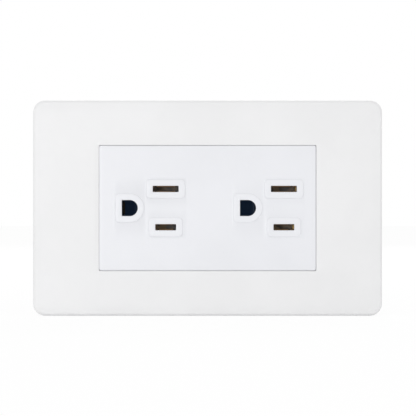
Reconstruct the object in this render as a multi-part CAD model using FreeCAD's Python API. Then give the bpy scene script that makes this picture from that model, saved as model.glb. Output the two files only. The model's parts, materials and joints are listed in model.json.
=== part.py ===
"""Duplex grounded wall outlet: clip-on cover plate, mounting frame and a one-piece module with two sockets.

Frame: millimetres, +Z up, +X right, +Y into the wall. The wall surface is the plane Y = 0, with the origin at the
centre of the mounting frame, so that the room side is at negative Y and the wall-box side at positive Y.
"""

import FreeCAD, Part
import math
import os

V = FreeCAD.Vector

# ---------------------------------------------------------------- socket geometry, two-pole and ground, 15 A
blade_pitch = 12.7          # neutral blade to hot blade, centre to centre
ground_offset = 11.9        # line of the blades to the centre of the ground pin
socket_pitch = 39.2         # one socket to the next
neutral_slot = 8.6          # length of the long slot
hot_slot = 6.9              # length of the short slot
slot_height = 2.05
ground_half = 2.65          # half width and half height of the D-shaped ground hole
pad_margin = 2.15           # raised pad beyond the hole that it surrounds
pad_corner = 1.3
pad_height = 0.35
pad_round = 0.2
hole_corner = 0.25
blade_thickness = 1.52
blade_reach = 18.3          # longest blade, from the face
ground_pin = 4.75           # diameter of the ground pin
ground_reach = 20.8         # longest ground pin, from the face

# ---------------------------------------------------------------- module housing
left_margin = 7.25          # side of the module to the left ground hole
right_margin = 6.65         # right socket's long slot to the side of the module
module_height = 41.5
module_proud = 0.3          # face of the module beyond the cover plate
module_corner = 0.6
module_edge_round = 0.5
module_ledge = 1.25         # flange beyond the skirt
skirt_wall = 1.6
skirt_depth = 2.0           # end of the skirt behind the wall surface
base_corner = 1.5
base_edge_round = 0.6
rear_wall = 3.5             # terminal chamber to the back of the module
latch_width = 7.0
latch_reach = 0.9
latch_x = 22.0
module_gap = 0.2            # skirt to the frame's window
fit_gap = 0.2               # loose fit of moulded and stamped pieces in their pockets

# ---------------------------------------------------------------- cover plate
plate_width = 116.0
plate_height = 71.5
plate_corner = 4.0
plate_depth = 8.0           # wall surface to the front
plate_wall_gap = 0.3        # back of the cover plate to the wall surface
plate_wall = 1.8
plate_skin = 2.0
crown_width = 3.2           # outer band that slopes back
crown_drop = 0.35
plate_edge_round = 1.2
window_gap = 0.25           # cover plate to module, all round
window_corner = 0.4
hook_width = 8.0
hook_thickness = 1.3
hook_nose = 0.7
hook_inset = 27.0           # hook centre from the middle of the plate
gusset_thickness = 1.0
gusset_length = 1.9
gusset_height = 3.0
gusset_pitch = 18.0
pry_width = 9.0
pry_depth = 1.4

# ---------------------------------------------------------------- mounting frame
frame_margin_x = 3.7        # inside of the cover plate's wall to the frame, at the ends
frame_margin_z = 2.7        # and along the top and bottom
frame_corner = 3.0
frame_web = 2.2
frame_rim = 1.8
frame_rib = 1.1
frame_rib_gap = 0.8         # rib to the tips of the module's latches
frame_rib_back = 0.6        # back of the rib to the wall surface
frame_front_gap = 0.5       # frame to the inside of the cover plate
anchor_width = 4.0
anchor_length = 7.0
anchor_inset_x = 9.0        # spare anchor slots, from the frame's edges
anchor_inset_z = 6.5
catch_ridge_front = 3.2     # ridge that a hook snaps over, to the wall surface
catch_ridge_back = 2.6
catch_depth = 0.35          # channel beyond the tip of the nose
catch_gap = 0.05            # a rigid hook's nose clears its ridge by this

# ---------------------------------------------------------------- wall box and mounting screws
box_screw_spacing = 83.5
box_screw_radius = 1.75
box_screw_neck = 1.4
box_screw_reach = 21.0      # thread behind the wall surface
box_screw_tip = 1.0
box_head_radius = 3.45
box_head_height = 2.2
box_screw_room = 0.45       # thread to the side of the ear's slot
box_screw_travel = 2.25     # levelling travel each way along the slot
ear_web = 2.2
ear_setback = 1.0           # back of an ear to the wall surface, room for the retainer
ear_pocket_room = 2.0       # screw head to the side of its pocket
ear_wall = 1.4
retainer_side = 7.4
retainer_thickness = 0.8
turning_gap = 0.05          # radial clearance of a shank that turns in its hole

# ---------------------------------------------------------------- housing screws
boss_radius = 2.9
boss_z_inset = 4.2          # boss axis to the outside of the skirt
boss_left_offset = 2.3      # boss axes beyond the blade lines
boss_right_offset = 4.0
boss_end = 0.0              # bosses reach the wall surface
housing_screw_radius = 1.25
housing_screw_room = 0.35   # screw to its hole in the rear housing
housing_screw_front = 1.2   # tip of the screw to the inside of the face
housing_head_radius = 2.6
housing_head_height = 1.8
housing_head_sink = 4.0     # back of the module to the seat of the head
driver_arm = 1.5
driver_slit = 0.7

# ---------------------------------------------------------------- contacts
leaf_thickness = 0.6
leaf_spread = 2.25          # blade centre to the middle of a leaf's flat part
blade_squeeze = 0.42        # blade thickness beyond the gap between the leaves
leaf_flare = 0.9            # mouth beyond the throat, each side
leaf_mouth_y = -4.4
leaf_throat_y = -1.6
leaf_flat_y = 1.2
leaf_end_y = 6.0
leaf_bend = 0.9
clip_side = 0.15            # clip beyond the end of its slot
leaf_inset = 1.0            # leaf's free side short of the slot's other end
narrow_finger = 0.95
finger_slit = 0.6
strip_thickness = 0.8
strip_bend = 0.6
bus_front_y = 0.5
rivet_radius = 1.0
rivet_head_radius = 1.7
rivet_head_height = 0.5
ground_leaf_width = 4.6
ground_spread = 2.9
ground_squeeze = 0.45
ground_flare = 0.55
ground_mouth_y = 0.5
ground_throat_y = 4.5
ground_flat_y = 8.5
ground_pin_room = 2.5       # tip of the longest pin to the web of the clip
ground_strap_height = 6.0
ground_strap_end = 0.9      # strap beyond the clips' leaves
ground_neck = 2.2           # width of the strap between the two wires
rear_cover = 1.2            # rivet heads to the back of the module
stake_radius = 1.0          # pegs of the rear housing that hold the ground strap
stake_head_radius = 1.7
stake_head_height = 0.6
stake_offsets = (-11.0, 9.0)    # pegs from the middle of the strap
hold_down_length = 6.0      # ribs of the face that hold the busbars down

# ---------------------------------------------------------------- terminals
terminal_spacing = 17.0     # neutral terminals on top, hot terminals below
screw_radius = 1.72
screw_pitch = 0.6
screw_head_radius = 3.2
screw_head_height = 1.8
screw_head_sink = 0.2
screw_seat_gap = 0.05       # head to the lug that it turns on
screw_tip_reach = 0.4       # tip of the screw beyond the open clamp
screw_tip_room = 0.6        # tip of the screw to the floor of the chamber
screw_slot_width = 0.9
screw_slot_depth = 0.9
screw_cross_length = 3.6
lug_hole_room = 0.2
lug_margin = 2.5            # lug beyond its hole, at each side
clamp_margin = 2.85         # clamp beyond its thread, at each side
clamp_thickness = 1.6
clamp_groove = 0.45
clamp_gap = 0.3             # clamp to the walls of its chamber
wire_gap = 2.6              # lug to the open clamp
wire_radius = 1.2           # room for a solid conductor beside the screw
wire_entry = 1.5            # radius of the entry bores
wire_lead_in = 0.6

# ---------------------------------------------------------------- worked-out places
module_width = left_margin + ground_half + ground_offset + socket_pitch + neutral_slot / 2 + right_margin
first_line = left_margin + ground_half + ground_offset - module_width / 2
blade_lines = (first_line, first_line + socket_pitch)
ground_lines = tuple(x - ground_offset for x in blade_lines)
face_y = -(plate_depth + module_proud)
pad_y = face_y - pad_height
plate_inside_y = -(plate_depth - plate_skin)
frame_front_y = plate_inside_y + frame_front_gap
frame_web_back_y = frame_front_y + frame_web
spigot_front_y = leaf_mouth_y + 0.8
ear_back_y = -ear_setback
ear_front_y = ear_back_y - ear_web
ear_slot_width = 2 * (box_screw_radius + box_screw_room)
ear_slot_length = ear_slot_width + 2 * box_screw_travel
ear_pocket_width = 2 * (box_head_radius + ear_pocket_room)
ear_pocket_height = ear_pocket_width + 2 * box_screw_travel
window_width = module_width + 2 * window_gap
window_height = module_height + 2 * window_gap
skirt_width = module_width - 2 * module_ledge
skirt_height = module_height - 2 * module_ledge
side_z = skirt_height / 2
frame_width = plate_width - 2 * (plate_wall + frame_margin_x)
frame_height = plate_height - 2 * (plate_wall + frame_margin_z)
hook_inner_z = frame_height / 2 + fit_gap

blade_z = blade_pitch / 2
leaf_throat = (blade_thickness - blade_squeeze + leaf_thickness) / 2
leaf_mouth = leaf_throat + leaf_flare
leaf_outside_z = blade_z + leaf_spread + leaf_thickness / 2
rivet_y = (leaf_flat_y + leaf_end_y) / 2
bus_z = leaf_outside_z + strip_thickness / 2
bus_half = neutral_slot / 2 + clip_side
riser_y = leaf_end_y + rivet_head_height
ground_throat = (ground_pin - ground_squeeze + leaf_thickness) / 2
ground_mouth = ground_throat + ground_flare
ground_web_y = pad_y + ground_reach + ground_pin_room + leaf_thickness / 2
strap_y = ground_web_y + (leaf_thickness + strip_thickness) / 2

clamp_bore = screw_radius + turning_gap
clamp_width = 2 * (clamp_bore + clamp_margin)
clamp_length = clamp_width * 0.8
chamber_width = clamp_width + 2 * clamp_gap
lug_hole_radius = screw_radius + lug_hole_room
lug_width = 2 * (lug_hole_radius + lug_margin)
wire_side = screw_radius + wire_radius + 0.3
head_top_z = side_z - screw_head_sink
seat_z = head_top_z - screw_head_height
lug_z = seat_z - screw_seat_gap - strip_thickness / 2
clamp_top_z = lug_z - strip_thickness / 2 - wire_gap
screw_tip_z = clamp_top_z - clamp_thickness - screw_tip_reach
chamber_floor_z = screw_tip_z - screw_tip_room
wire_z = lug_z - strip_thickness / 2 - wire_gap / 2
clamp_front_y = riser_y + strip_thickness / 2 + clamp_gap
screw_y = clamp_front_y + clamp_length / 2
lug_end_y = clamp_front_y + clamp_length
chamber_front_y = riser_y - strip_thickness / 2 - fit_gap
chamber_back_y = lug_end_y + clamp_gap
strap_back_y = strap_y + strip_thickness / 2 + rivet_head_height + rear_cover
base_depth = max(strap_back_y, chamber_back_y + rear_wall)
head_seat_y = base_depth - housing_head_sink
terminal_middle = sum(blade_lines) / 2
terminal_x = (terminal_middle - terminal_spacing / 2, terminal_middle + terminal_spacing / 2)
ground_terminal_x = 2 * skirt_wall - skirt_width / 2 + chamber_width / 2 - 1.0
boss_z = side_z - boss_z_inset
boss_x = (blade_lines[0] - boss_left_offset, blade_lines[1] + boss_right_offset)
boss_places = [(x, s * boss_z) for x in boss_x for s in (1, -1)]
strap_left = min(ground_lines[0] - ground_leaf_width / 2, ground_terminal_x - ground_neck / 2) - ground_strap_end
strap_right = ground_lines[1] + ground_leaf_width / 2 + ground_strap_end
stake_x = [(strap_left + strap_right) / 2 + offset for offset in stake_offsets]


# ---------------------------------------------------------------- shapes that are used all over
def block(x0, x1, y0, y1, z0, z1):
    """Box between two corners."""
    return Part.makeBox(x1 - x0, y1 - y0, z1 - z0, V(x0, y0, z0))


def outline(width, height, radii, y, cx=0.0, cz=0.0):
    """Closed wire in an XZ plane: a rectangle whose corners, from top left clockwise, have these radii."""
    if not isinstance(radii, (tuple, list)):
        radii = (radii,) * 4
    a, b = width / 2, height / 2
    corners = [(-a, b, 1, 0), (a, b, 0, -1), (a, -b, -1, 0), (-a, -b, 0, 1)]
    edges, ends = [], []
    for (x, z, dx, dz), r in zip(corners, radii):
        # each corner is entered against its own leaving direction turned a quarter
        ex, ez = -dz, dx
        start = V(cx + x - ex * r, y, cz + z - ez * r)
        end = V(cx + x + dx * r, y, cz + z + dz * r)
        k = r * (1 - math.sqrt(0.5))
        middle = V(cx + x + (dx - ex) * k, y, cz + z + (dz - ez) * k)
        ends.append((start, middle, end, r))
    for i, (start, middle, end, r) in enumerate(ends):
        if r > 0:
            edges.append(Part.Arc(start, middle, end).toShape())
        following = ends[(i + 1) % 4][0]
        if (following - end).Length > 1e-6:
            edges.append(Part.LineSegment(end, following).toShape())
    return Part.Wire(edges)


def plate(width, height, radii, y0, y1, cx=0.0, cz=0.0):
    """Rounded rectangle extruded along Y from y0 to y1."""
    return Part.Face(outline(width, height, radii, y0, cx, cz)).extrude(V(0, y1 - y0, 0))


def rod(radius, start, direction, length):
    """Cylinder."""
    return Part.makeCylinder(radius, length, start, direction)


def bent_strip(points, thickness, bend, x0, x1):
    """Strip of metal that follows (y, z) points with rounded bends, extruded along X."""
    path = [V(0, y, z) for y, z in points]
    half = thickness / 2
    normal = V(1, 0, 0)
    sides = ([], [])
    last = None
    for i, p in enumerate(path):
        ahead = (path[i + 1] - p).normalize() if i + 1 < len(path) else None
        behind = (p - path[i - 1]).normalize() if i else None
        if ahead is None or behind is None:
            along = ahead or behind
            across = normal.cross(along)
            ends = (p + across * half, p - across * half)
            if last:
                for side, a, b in zip(sides, last, ends):
                    side.append(Part.LineSegment(a, b).toShape())
            last = ends
            continue
        turn = behind.getAngle(ahead)
        sign = 1 if behind.cross(ahead).dot(normal) > 0 else -1
        setback = (bend + half) * math.tan(turn / 2)
        a, b = p - behind * setback, p + ahead * setback
        centre = a + normal.cross(behind) * (sign * (bend + half))
        middle = (p - centre).normalize()
        new_last = []
        for k, side in enumerate(sides):
            offset = half if k == 0 else -half
            start = a + normal.cross(behind) * offset
            end = b + normal.cross(ahead) * offset
            radius = (bend + half) - sign * offset
            side.append(Part.LineSegment(last[k], start).toShape())
            side.append(Part.Arc(start, centre + middle * radius, end).toShape())
            new_last.append(end)
        last = new_last
    first = path[0]
    across = normal.cross((path[1] - path[0]).normalize())
    caps = [
        Part.LineSegment(first + across * half, first - across * half).toShape(),
        Part.LineSegment(last[0], last[1]).toShape(),
    ]
    wire = Part.Wire(Part.__sortEdges__(sides[0] + sides[1] + caps))
    solid = Part.Face(wire).extrude(V(x1 - x0, 0, 0))
    return solid.translated(V(x0, 0, 0))


def union(shapes):
    """One clean solid from shapes that overlap or touch."""
    return shapes[0].fuse(shapes[1:]).removeSplitter() if len(shapes) > 1 else shapes[0]


def mirrored_z(shape):
    """The same shape on the other side of the horizontal mid-plane."""
    return shape.mirror(V(0, 0, 0), V(0, 0, 1))


def edges_where(shape, test):
    """Edges whose every vertex passes a test."""
    return [e for e in shape.Edges if all(test(v.Point) for v in e.Vertexes)]


# ---------------------------------------------------------------- cover plate
def hook(x, sign):
    """Snap hook on the cover plate's long side: a tongue with a nose that points at the frame."""
    z_in, z_out = hook_inner_z, hook_inner_z + hook_thickness
    tongue = block(x - hook_width / 2, x + hook_width / 2, plate_inside_y - 0.5, -0.6, z_in, z_out)
    front = -catch_ridge_back + 0.3
    points = [
        V(0, front, z_in + 0.1),
        V(0, front + 0.3, z_in - hook_nose),
        V(0, front + 0.6, z_in - hook_nose),
        V(0, -0.9, z_in + 0.1),
    ]
    nose = Part.Face(Part.makePolygon(points + points[:1])).extrude(V(hook_width, 0, 0))
    piece = union([tongue, nose.translated(V(x - hook_width / 2, 0, 0))])
    return piece if sign > 0 else mirrored_z(piece)


def hook_places():
    """X of the snap hooks, on each long side."""
    return (-hook_inset, hook_inset)


def gussets(inner_width, inner_height):
    """Small ribs between the cover plate's skin and its walls."""
    ribs = []
    y0, y1 = plate_inside_y - 0.3, plate_inside_y + gusset_height
    count = int((inner_width / 2 - 6.0) // gusset_pitch)
    for i in range(-count, count + 1):
        x = i * gusset_pitch
        if any(abs(abs(x) - h) < hook_width / 2 + gusset_thickness for h in hook_places()):
            continue
        for s in (1, -1):
            a, b = inner_height / 2 - gusset_length, inner_height / 2 + 0.3
            z0, z1 = (a, b) if s > 0 else (-b, -a)
            ribs.append(block(x - gusset_thickness / 2, x + gusset_thickness / 2, y0, y1, z0, z1))
    rows = int((inner_height / 2 - 6.0) // (gusset_pitch * 0.75))
    for i in range(-rows, rows + 1):
        z = i * gusset_pitch * 0.75
        for s in (1, -1):
            a, b = inner_width / 2 - gusset_length, inner_width / 2 + 0.3
            x0, x1 = (a, b) if s > 0 else (-b, -a)
            ribs.append(block(x0, x1, y0, y1, z - gusset_thickness / 2, z + gusset_thickness / 2))
    return ribs


def cover_plate():
    """Decorative plate: a shallow tray with a crowned rim, a window, snap hooks and a pry slot."""
    shoulder_y = -(plate_depth - crown_drop)
    tray = plate(plate_width, plate_height, plate_corner, shoulder_y, -plate_wall_gap)
    inset_w, inset_h = plate_width - 2 * crown_width, plate_height - 2 * crown_width
    inner = outline(inset_w, inset_h, plate_corner - crown_width, -plate_depth)
    crown = Part.makeLoft([outline(plate_width, plate_height, plate_corner, shoulder_y), inner], True, True)
    body = tray.fuse(crown).removeSplitter()
    rim = edges_where(body, lambda p: abs(p.y - shoulder_y) < 1e-4)
    body = body.makeFillet(plate_edge_round, rim)
    inner_width, inner_height = plate_width - 2 * plate_wall, plate_height - 2 * plate_wall
    body = body.cut(plate(inner_width, inner_height, plate_corner - plate_wall, plate_inside_y, 1))
    body = body.cut(plate(window_width, window_height, window_corner, -plate_depth - 1, 1))
    added = [hook(x, s) for x in hook_places() for s in (1, -1)]
    added += gussets(inner_width, inner_height)
    body = union([body] + added)
    pry = block(-pry_width / 2, pry_width / 2, -pry_depth, 1, -plate_height / 2 - 1, -inner_height / 2 + 0.4)
    return body.cut(pry)


# ---------------------------------------------------------------- mounting frame
def ear_centres():
    """X of the two mounting ears."""
    return (-box_screw_spacing / 2, box_screw_spacing / 2)


def mounting_frame():
    """Moulded chassis that is screwed to the wall box and carries the module and the cover plate."""
    body = plate(frame_width, frame_height, frame_corner, frame_front_y, 0)
    inner_w, inner_h = frame_width - 2 * frame_rim, frame_height - 2 * frame_rim
    body = body.cut(plate(inner_w, inner_h, frame_corner - frame_rim, frame_web_back_y, 1))
    # a rib rings the window, clear of the module's latches
    reach = 2 * (latch_reach + frame_rib_gap)
    rib_w, rib_h = skirt_width + reach, skirt_height + reach
    outside = plate(rib_w + 2 * frame_rib, rib_h + 2 * frame_rib, 1.5, frame_web_back_y - 0.2, -frame_rib_back)
    inside = plate(rib_w, rib_h, 0.5, frame_web_back_y - 1, 1)
    added = [outside.cut(inside)]
    cuts = [plate(skirt_width + 2 * module_gap, skirt_height + 2 * module_gap, 0.5, frame_front_y - 1, 1)]
    for x in ear_centres():
        added.append(plate(ear_pocket_width + 2 * ear_wall, ear_pocket_height + 2 * ear_wall, 2.0,
                           frame_front_y, ear_back_y, x).cut(inside))
        cuts.append(plate(ear_pocket_width, ear_pocket_height, 1.2, frame_front_y - 1, ear_front_y, x))
        cuts.append(plate(ear_slot_width, ear_slot_length, ear_slot_width / 2, ear_front_y - 1, 1, x))
    for x in (-1, 1):
        for z in (-1, 1):
            cx = x * (frame_width / 2 - anchor_inset_x)
            cz = z * (frame_height / 2 - anchor_inset_z)
            cuts.append(plate(anchor_length, anchor_width, anchor_width / 2, frame_front_y - 1, 1, cx, cz))
    cuts += [catch_channel(x, s) for x in hook_places() for s in (1, -1)]
    body = union([body] + added)
    for cut in cuts:
        body = body.cut(cut)
    return body.removeSplitter()


def catch_channel(x, sign):
    """Channel in the frame's rim that a hook's nose travels in, with the ridge that it snaps over left standing."""
    tip = hook_inner_z - hook_nose
    floor = tip - catch_depth
    half = hook_width / 2 + fit_gap
    channel = block(x - half, x + half, frame_front_y - 1, 1, floor, frame_height / 2 + 1)
    ridge = block(x - half, x + half, -catch_ridge_front, -catch_ridge_back, floor - 1, tip - catch_gap)
    channel = channel.cut(ridge)
    return channel if sign > 0 else mirrored_z(channel)


# ---------------------------------------------------------------- module, front housing
def sockets():
    """(x of the blade line, +1 where the narrow contact finger is on the right or -1 on the left)."""
    return ((blade_lines[0], -1), (blade_lines[1], 1))


def socket_holes(y0, y1, grow=0.0):
    """The three holes of both sockets, or their pads where grow is the pad's margin."""
    corner = pad_corner if grow else hole_corner
    shapes = []
    for x, _ in sockets():
        shapes.append(plate(neutral_slot + 2 * grow, slot_height + 2 * grow, corner, y0, y1, x, blade_z))
        shapes.append(plate(hot_slot + 2 * grow, slot_height + 2 * grow, corner, y0, y1, x, -blade_z))
        side = 2 * (ground_half + grow)
        far = ground_half + grow - 0.01
        shapes.append(plate(side, side, (corner, far, far, corner), y0, y1, x - ground_offset, 0))
    return shapes


def module_face():
    """Front housing: flange with the sockets' holes and pads, skirt, latches, screw bosses and hold-down ribs."""
    flange = plate(module_width, module_height, module_corner, face_y, frame_front_y)
    flange = flange.makeFillet(module_edge_round, edges_where(flange, lambda p: abs(p.y - face_y) < 1e-4))
    pads = []
    for pad in socket_holes(pad_y, face_y + 0.5, pad_margin):
        pads.append(pad.makeFillet(pad_round, edges_where(pad, lambda p: abs(p.y - pad_y) < 1e-4)))
    skirt = plate(skirt_width, skirt_height, 0.8, frame_front_y - 0.2, skirt_depth)
    inside_w, inside_h = skirt_width - 2 * skirt_wall, skirt_height - 2 * skirt_wall
    skirt = skirt.cut(plate(inside_w, inside_h, 0.4, frame_front_y - 1, skirt_depth + 1))
    parts = [flange, skirt] + pads
    parts += [latch(x, s) for x in (-latch_x, latch_x) for s in (1, -1)]
    # thin ribs behind the face hold both busbars down in their pockets
    half, rib = hold_down_length / 2, strip_thickness / 2 - 0.1
    for x in (blade_lines[0], terminal_middle, blade_lines[1]):
        for z in (bus_z, -bus_z):
            parts.append(block(x - half, x + half, frame_front_y - 0.2, bus_front_y - 0.1, z - rib, z + rib))
    for x, z in boss_places:
        parts.append(rod(boss_radius, V(x, frame_front_y - 0.2, z), V(0, 1, 0), boss_end - frame_front_y + 0.2))
    body = union(parts)
    body = body.cut(Part.Compound(socket_holes(pad_y - 1, frame_front_y + 1)))
    pilot = housing_screw_radius + turning_gap
    pilots = [rod(pilot, V(x, frame_front_y + 0.6, z), V(0, 1, 0), 20) for x, z in boss_places]
    return body.cut(Part.Compound(pilots)).removeSplitter()


def latch(x, sign):
    """Wedge on the skirt that snaps behind the frame's web."""
    z = side_z
    points = [
        V(0, frame_web_back_y + 0.1, z - 0.3),
        V(0, frame_web_back_y + 0.1, z + latch_reach),
        V(0, frame_web_back_y + 0.6, z + latch_reach),
        V(0, frame_web_back_y + 2.4, z),
        V(0, frame_web_back_y + 2.4, z - 0.3),
    ]
    wedge = Part.Face(Part.makePolygon(points + points[:1])).extrude(V(latch_width, 0, 0))
    wedge = wedge.translated(V(x - latch_width / 2, 0, 0))
    return wedge if sign > 0 else mirrored_z(wedge)


# ---------------------------------------------------------------- module, rear housing
def module_base():
    """Rear housing: block with pockets for the contacts, terminal chambers, wire entries and screw holes."""
    spigot_w = skirt_width - 2 * (skirt_wall + fit_gap)
    spigot_h = skirt_height - 2 * (skirt_wall + fit_gap)
    back = plate(skirt_width, skirt_height, base_corner, skirt_depth, base_depth)
    back = back.makeFillet(base_edge_round, edges_where(back, lambda p: abs(p.y - base_depth) < 1e-4))
    body = back.fuse(plate(spigot_w, spigot_h, 0.4, spigot_front_y, skirt_depth)).removeSplitter()
    cuts = ground_pockets() + terminal_chamber(ground_terminal_x)
    for x in terminal_x:
        chamber = terminal_chamber(x) + [riser_slot(x)]
        cuts += chamber + [mirrored_z(c) for c in chamber]
    upper = blade_pockets()
    cuts += upper + [mirrored_z(c) for c in upper]
    for x, z in boss_places:
        depth = boss_end + fit_gap - spigot_front_y
        cuts.append(rod(boss_radius + fit_gap, V(x, spigot_front_y - 1, z), V(0, 1, 0), depth + 1))
        cuts.append(rod(housing_screw_radius + housing_screw_room, V(x, -1, z), V(0, 1, 0), base_depth + 2))
        cuts.append(rod(housing_head_radius + 0.3, V(x, head_seat_y, z), V(0, 1, 0), housing_head_sink + 1))
    for cut in cuts:
        body = body.cut(cut)
    return union([body] + stakes())


def blade_pockets():
    """Room for the upper clips and their busbar, loaded from the front."""
    cuts = []
    reach = bus_half + leaf_thickness + fit_gap
    low = blade_z - leaf_spread - leaf_thickness / 2 - fit_gap
    high = bus_z + strip_thickness / 2 + rivet_head_height + fit_gap
    half = neutral_slot / 2
    for x in blade_lines:
        cuts.append(block(x - reach, x + reach, spigot_front_y - 1, leaf_end_y + fit_gap, low, high))
        tip_y = pad_y + blade_reach + 0.5
        cuts.append(block(x - half, x + half, 0, tip_y, blade_z - slot_height * 0.6, blade_z + slot_height * 0.6))
    bus_low, bus_high = bus_z - strip_thickness / 2 - fit_gap, bus_z + strip_thickness / 2 + fit_gap
    back_y = riser_y + strip_thickness / 2 + fit_gap
    cuts.append(block(blade_lines[0] - reach, blade_lines[1] + reach, spigot_front_y - 1, back_y, bus_low, bus_high))
    return cuts


def ground_pockets():
    """Room for the ground clips and strap, loaded from the back, with holes that leave the strap's pegs standing."""
    cuts = []
    half_w = ground_leaf_width / 2 + leaf_thickness + fit_gap
    half_h = max(ground_spread, ground_mouth) + leaf_thickness / 2 + fit_gap
    for x in ground_lines:
        cuts.append(block(x - half_w, x + half_w, spigot_front_y - 1, base_depth + 1, -half_h, half_h))
    top = ground_strap_height / 2 + fit_gap
    front = strap_y - strip_thickness / 2
    back = base_depth + 1
    cuts.append(block(strap_left - fit_gap, strap_right + fit_gap, front, back, -top, top))
    neck = ground_neck / 2 + fit_gap
    lug_top = lug_z + strip_thickness / 2 + fit_gap
    cuts.append(block(ground_terminal_x - neck, ground_terminal_x + neck, front, back, 0, lug_top))
    # the bend from the neck to the lug
    bend_low = lug_z - strip_thickness / 2 - strip_bend - fit_gap
    cuts.append(block(ground_terminal_x - neck, ground_terminal_x + neck, chamber_back_y - 1, back, bend_low, lug_top))
    lug = lug_width / 2 + fit_gap
    lug_low = lug_z - strip_thickness / 2 - fit_gap
    cuts.append(block(ground_terminal_x - lug, ground_terminal_x + lug, chamber_back_y - 1, back, lug_low, lug_top))
    return cuts


def stakes():
    """Pegs through the ground strap, with their ends spread over it."""
    front = strap_y - strip_thickness / 2
    pegs = []
    for x in stake_x:
        pegs.append(rod(stake_radius, V(x, front - 1, 0), V(0, 1, 0), strip_thickness + 1 + stake_head_height))
        head = rod(stake_head_radius, V(x, front + strip_thickness, 0), V(0, 1, 0), stake_head_height)
        pegs.append(head.makeFillet(stake_head_height * 0.6, [head.Edges[i] for i in dome_edges(head)]))
    return pegs


def dome_edges(head):
    """Indices of the round edge at the far end of a peg's head."""
    far = max(e.BoundBox.YMax for e in head.Edges)
    return [i for i, e in enumerate(head.Edges) if e.BoundBox.YMin > far - 1e-4 and len(e.Vertexes) == 1]


def terminal_chamber(x):
    """Open-topped chamber of one terminal and its two wire entries."""
    half = chamber_width / 2
    cuts = [block(x - half, x + half, chamber_front_y, chamber_back_y, chamber_floor_z, side_z + 1)]
    wide = wire_entry + wire_lead_in
    for side in (-wire_side, wire_side):
        start = V(x + side, chamber_back_y - 1, wire_z)
        cuts.append(rod(wire_entry, start, V(0, 1, 0), base_depth - chamber_back_y + 2))
        start = V(x + side, base_depth - wire_lead_in, wire_z)
        cuts.append(Part.makeCone(wire_entry, wide, wire_lead_in, start, V(0, 1, 0)))
    return cuts


def riser_slot(x):
    """Way in from the front for a busbar's riser and lug."""
    half = lug_width / 2 + fit_gap
    top = lug_z + strip_thickness / 2 + fit_gap
    return block(x - half, x + half, spigot_front_y - 1, riser_y + strip_thickness / 2 + fit_gap, bus_z, top)


# ---------------------------------------------------------------- contacts
def blade_clip(x, slot, outer):
    """Spring clip for one blade, on the upper side: two leaves with a slit, joined by a web beyond the blade's end."""
    half = slot / 2 + clip_side
    shape = [
        (leaf_end_y, leaf_spread),
        (leaf_flat_y, leaf_spread),
        (leaf_throat_y, leaf_throat),
        (leaf_mouth_y, leaf_mouth),
    ]
    edge, free = x + outer * half, x - outer * (slot / 2 - leaf_inset)
    x0, x1 = min(edge, free), max(edge, free)
    upper = bent_strip([(y, blade_z + z) for y, z in shape], leaf_thickness, leaf_bend, x0, x1)
    lower = bent_strip([(y, blade_z - z) for y, z in shape], leaf_thickness, leaf_bend, x0, x1)
    height = leaf_spread + leaf_thickness / 2
    web = slab(edge, edge + outer * leaf_thickness, leaf_flat_y + 0.6, leaf_end_y, blade_z - height, blade_z + height)
    slit_edge = edge - outer * narrow_finger
    slit = slab(slit_edge, slit_edge - outer * finger_slit, leaf_mouth_y - 1, leaf_flat_y - 0.6, 0, 2 * blade_z)
    hole = rod(rivet_radius, V(x, rivet_y, blade_z), V(0, 0, 1), 10)
    return union([upper, lower, web]).cut(slit).cut(hole).removeSplitter()


def slab(xa, xb, y0, y1, z0, z1):
    """Box whose two ends along X may come in either order."""
    return block(min(xa, xb), max(xa, xb), y0, y1, z0, z1)


def line_busbar():
    """Busbar of the upper side: a flange along both clips, with a riser and a lug at each terminal."""
    half = strip_thickness / 2
    x0, x1 = blade_lines[0] - bus_half, blade_lines[1] + bus_half
    pieces = [block(x0, x1, bus_front_y, riser_y - strip_bend - half, bus_z - half, bus_z + half)]
    for x in terminal_x:
        path = [(bus_front_y, bus_z), (riser_y, bus_z), (riser_y, lug_z), (lug_end_y, lug_z)]
        pieces.append(bent_strip(path, strip_thickness, strip_bend, x - lug_width / 2, x + lug_width / 2))
    holes = [rod(rivet_radius, V(x, rivet_y, bus_z - 2), V(0, 0, 1), 4) for x in blade_lines]
    holes += [rod(lug_hole_radius, V(x, screw_y, lug_z - 2), V(0, 0, 1), 4) for x in terminal_x]
    return union(pieces).cut(Part.Compound(holes)).removeSplitter()


def rivet(base, direction, grip):
    """Rivet with a head at each end of its grip."""
    body = rod(rivet_radius, base, direction, grip)
    head = rod(rivet_head_radius, base - direction * rivet_head_height, direction, rivet_head_height)
    tail = rod(rivet_head_radius * 0.9, base + direction * grip, direction, rivet_head_height)
    return union([body, head, tail])


def line_rivets():
    """Rivets of the upper side, clip to busbar."""
    grip = leaf_thickness + strip_thickness
    base_z = leaf_outside_z - leaf_thickness
    return Part.Compound([rivet(V(x, rivet_y, base_z), V(0, 0, 1), grip) for x in blade_lines])


def ground_clip(x):
    """Spring clip for one ground pin: a leaf above and below, joined at the back, with a cheek on the blades' side."""
    half = ground_leaf_width / 2
    end = ground_web_y
    above = [
        (ground_mouth_y, ground_mouth),
        (ground_throat_y, ground_throat),
        (ground_flat_y, ground_spread),
        (end, ground_spread),
    ]
    path = above + [(y, -z) for y, z in reversed(above)]
    clip = bent_strip(path, leaf_thickness, leaf_bend * 0.5, x - half, x + half)
    height = ground_spread + leaf_thickness / 2
    cheek = block(x + half, x + half + leaf_thickness, ground_flat_y + 0.5, end - 1.0, -height, height)
    return union([clip, cheek]).cut(rod(rivet_radius, V(x, end - 2, 0), V(0, 1, 0), 4))


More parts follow.
